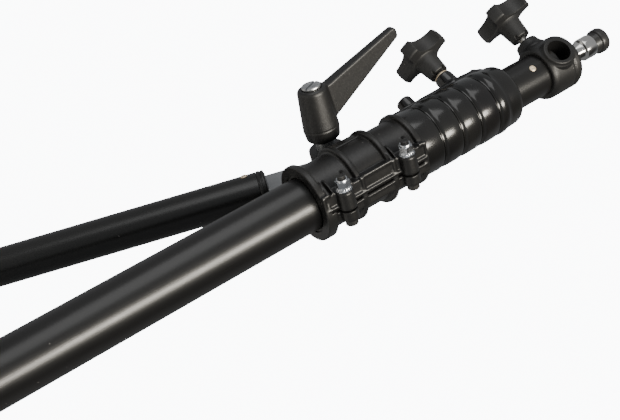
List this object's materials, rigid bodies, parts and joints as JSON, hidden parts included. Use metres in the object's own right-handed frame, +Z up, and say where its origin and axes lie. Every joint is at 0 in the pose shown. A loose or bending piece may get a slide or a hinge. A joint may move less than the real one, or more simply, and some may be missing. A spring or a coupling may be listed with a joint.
{
  "type": "convertible boom stand",
  "caption": "Three-leg studio stand with a three-section column, a two-way clamp with a ratchet lever and a telescopic boom ending in a socket and spigot.",
  "frame": {"origin": "middle of the whole object's footprint, on the floor", "axes": "+Z up along the column; -Y is the side of the clamp's lever; the boom hangs towards +X"},
  "size_m": [0.6524, 0.7486, 1.4653],
  "materials": {
    "anodised_tube": "satin black anodised aluminium",
    "black_casting": "semi-gloss black powder-coated casting",
    "black_knob": "fine-textured matte black moulding",
    "gloss_collar": "glossy black casting",
    "zinc_hardware": "bright zinc-plated steel",
    "dark_steel": "black oxide steel",
    "grey_steel": "satin grey steel",
    "chrome_spigot": "polished chrome",
    "brass_rivet": "dull brass rivet",
    "nylon_bush": "dark nylon",
    "rubber_foot": "matte rubber"
  },
  "bodies": {
    "base": {"column_tube": "anodised_tube", "column_plug": "black_casting", "column_collar": "black_casting", "column_brake_pad": "nylon_bush", "leg_hub_a": "black_casting", "leg_tube_a": "anodised_tube", "leg_foot_a": "rubber_foot", "hub_washers": "nylon_bush", "lock_ring": "black_casting"},
    "leg_b": {"leg_hub_b": "black_casting", "leg_tube_b": "anodised_tube", "leg_foot_b": "rubber_foot"},
    "leg_c": {"leg_hub_c": "black_casting", "leg_tube_c": "anodised_tube", "leg_foot_c": "rubber_foot"},
    "column_knob": {"column_knob": "black_knob", "column_knob_stud": "zinc_hardware"},
    "middle_riser": {"middle_tube": "anodised_tube", "middle_guide": "nylon_bush", "middle_collar": "black_casting", "middle_brake_pad": "nylon_bush"},
    "middle_knob": {"middle_knob": "black_knob", "middle_knob_stud": "zinc_hardware"},
    "top_slide": {"top_guide": "nylon_bush"},
    "top_riser": {"top_tube": "anodised_tube", "riser_cap": "black_casting", "riser_tongue": "grey_steel", "riser_rivet": "brass_rivet"},
    "clamp": {"clamp_upper_half": "black_casting", "clamp_lower_half": "black_casting", "clamp_liner": "nylon_bush", "clamp_bolts": "dark_steel", "clamp_nuts": "zinc_hardware", "clamp_washers": "zinc_hardware", "friction_discs": "nylon_bush", "pivot_bolt": "dark_steel", "lever_spacer": "grey_steel"},
    "lever_core": {"lever_insert": "dark_steel", "lever_screw": "zinc_hardware", "lever_spring": "zinc_hardware"},
    "lever_handle": {"lever_handle": "black_casting"},
    "boom": {"boom_tube": "anodised_tube", "boom_tail_cap": "black_knob", "boom_collar": "gloss_collar", "boom_collar_bush": "nylon_bush", "boom_set_screw": "dark_steel", "boom_brake_pad": "nylon_bush"},
    "boom_knob": {"boom_knob": "black_knob", "boom_knob_stud": "zinc_hardware"},
    "boom_extension": {"extension_tube": "anodised_tube", "extension_guide": "nylon_bush", "extension_rivet": "brass_rivet", "head_casting": "black_casting", "spigot": "chrome_spigot", "spigot_cap": "black_knob"},
    "head_knob": {"head_knob": "black_knob", "head_knob_stud": "zinc_hardware"}
  },
  "joints": [
    {"name": "leg_b_fold", "type": "hinge", "parent": "base", "child": "leg_b", "pos_m": [-0.10235, 0, 0.16], "axis": [0, 0, 1], "range_deg": [-105, 0]},
    {"name": "leg_c_fold", "type": "hinge", "parent": "base", "child": "leg_c", "pos_m": [-0.10235, 0, 0.197], "axis": [0, 0, 1], "range_deg": [0, 105]},
    {"name": "column_knob_turn", "type": "hinge", "parent": "base", "child": "column_knob", "pos_m": [-0.10235, 0, 0.7532], "axis": [-1, 0, 0], "range_deg": [0, 540]},
    {"name": "middle_slide", "type": "slide", "parent": "base", "child": "middle_riser", "axis": [0, 0, 1], "range_m": [-0.075, 0.38]},
    {"name": "middle_knob_turn", "type": "hinge", "parent": "middle_riser", "child": "middle_knob", "pos_m": [-0.10235, 0, 0.8752], "axis": [-1, 0, 0], "range_deg": [0, 540]},
    {"name": "top_slide", "type": "slide", "parent": "middle_riser", "child": "top_slide", "axis": [0, 0, 1], "range_m": [-0.3, 0.16]},
    {"name": "boom_pan", "type": "hinge", "parent": "top_slide", "child": "top_riser", "pos_m": [-0.10235, 0, 1.25], "axis": [0, 0, 1], "continuous": true},
    {"name": "boom_tilt", "type": "hinge", "parent": "top_riser", "child": "clamp", "pos_m": [-0.10235, 0, 1.25], "axis": [0, -1, 0], "range_deg": [-15, 115]},
    {"name": "lever_turn", "type": "hinge", "parent": "clamp", "child": "lever_core", "pos_m": [-0.10235, -0.025, 1.25], "axis": [0, -1, 0], "range_deg": [-20, 180]},
    {"name": "lever_lift", "type": "slide", "parent": "lever_core", "child": "lever_handle", "axis": [0, -1, 0], "range_m": [0, 0.006], "stiffness_N_per_m": 400, "springref_m": -0.003},
    {"name": "boom_slide", "type": "slide", "parent": "clamp", "child": "boom", "axis": [-0.4035, 0, 0.915], "range_m": [0, 0.7]},
    {"name": "boom_knob_turn", "type": "hinge", "parent": "boom", "child": "boom_knob", "pos_m": [-0.10947, -0.009, 1.35288], "axis": [-0.8079, -0.4695, -0.3563], "range_deg": [0, 540]},
    {"name": "extension_slide", "type": "slide", "parent": "boom", "child": "boom_extension", "axis": [-0.4035, 0, 0.915], "range_m": [-0.018, 0.45]},
    {"name": "head_knob_turn", "type": "hinge", "parent": "boom_extension", "child": "head_knob", "pos_m": [-0.13659, -0.009, 1.41436], "axis": [-0.7355, -0.5948, -0.3244], "range_deg": [0, 540]}
  ]
}
